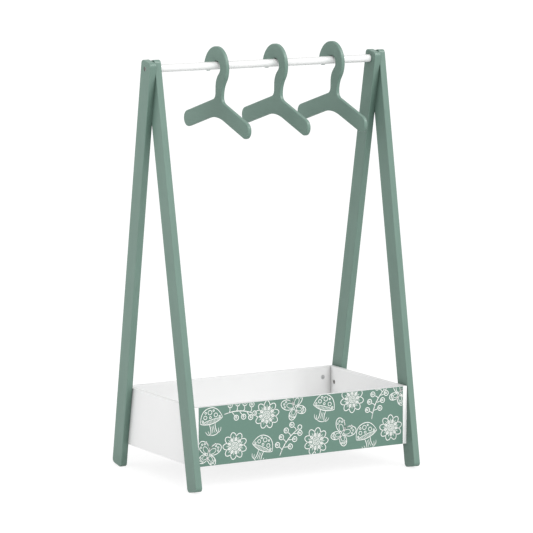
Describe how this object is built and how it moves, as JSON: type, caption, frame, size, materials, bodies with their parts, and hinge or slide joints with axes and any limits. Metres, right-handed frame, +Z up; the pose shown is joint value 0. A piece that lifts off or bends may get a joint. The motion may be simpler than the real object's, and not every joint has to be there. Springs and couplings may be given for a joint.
{
  "type": "kids clothing rack",
  "caption": "Low clothing rack for a child's room: A-frame ends of painted boards, a round bar with flat hangers, and an open storage box low between the legs.",
  "frame": {"origin": "floor level, under the middle of the rack", "axes": "+X along the hanging bar, -Y towards the printed front panel, +Z up"},
  "size_m": [0.6908, 0.4514, 1.0858],
  "materials": {
    "sage_paint": "satin sage-green paint over smooth wood",
    "sage_print_board": "sage-green coated board with a printed cream line pattern",
    "white_board": "white coated board, satin",
    "white_lacquer": "white lacquer over a round wooden bar",
    "zinc_steel": "zinc-plated steel",
    "zinc_cam": "die-cast zinc",
    "beech": "bare beech"
  },
  "bodies": {
    "stand": {"left_front_leg": "sage_paint", "left_back_leg": "sage_paint", "right_front_leg": "sage_paint", "right_back_leg": "sage_paint", "hanging_bar": "white_lacquer", "left_apex_bolt": "zinc_steel", "right_apex_bolt": "zinc_steel", "left_bar_insert": "zinc_steel", "right_bar_insert": "zinc_steel", "left_side_panel": "white_board", "right_side_panel": "white_board", "front_panel": "sage_print_board", "back_panel": "white_board", "bottom_panel": "white_board", "left_leg_bolts": "zinc_steel", "right_leg_bolts": "zinc_steel", "left_leg_inserts": "zinc_steel", "right_leg_inserts": "zinc_steel", "front_cam_locks": "zinc_cam", "back_cam_locks": "zinc_cam", "front_cam_bolts": "zinc_steel", "back_cam_bolts": "zinc_steel", "front_corner_dowels": "beech", "back_corner_dowels": "beech"},
    "left_hanger_body": {"left_hanger": "sage_paint"},
    "middle_hanger_body": {"middle_hanger": "sage_paint"},
    "right_hanger_body": {"right_hanger": "sage_paint"}
  },
  "joints": [
    {"name": "left_hanger_swing", "type": "hinge", "parent": "stand", "child": "left_hanger_body", "pos_m": [-0.13871, 0, 1.0375], "axis": [1, 0, 0], "range_deg": [-60, 60]},
    {"name": "middle_hanger_swing", "type": "hinge", "parent": "stand", "child": "middle_hanger_body", "pos_m": [0.03172, 0, 1.0375], "axis": [1, 0, 0], "range_deg": [-60, 60]},
    {"name": "right_hanger_swing", "type": "hinge", "parent": "stand", "child": "right_hanger_body", "pos_m": [0.19861, 0, 1.0375], "axis": [1, 0, 0], "range_deg": [-60, 60]}
  ]
}
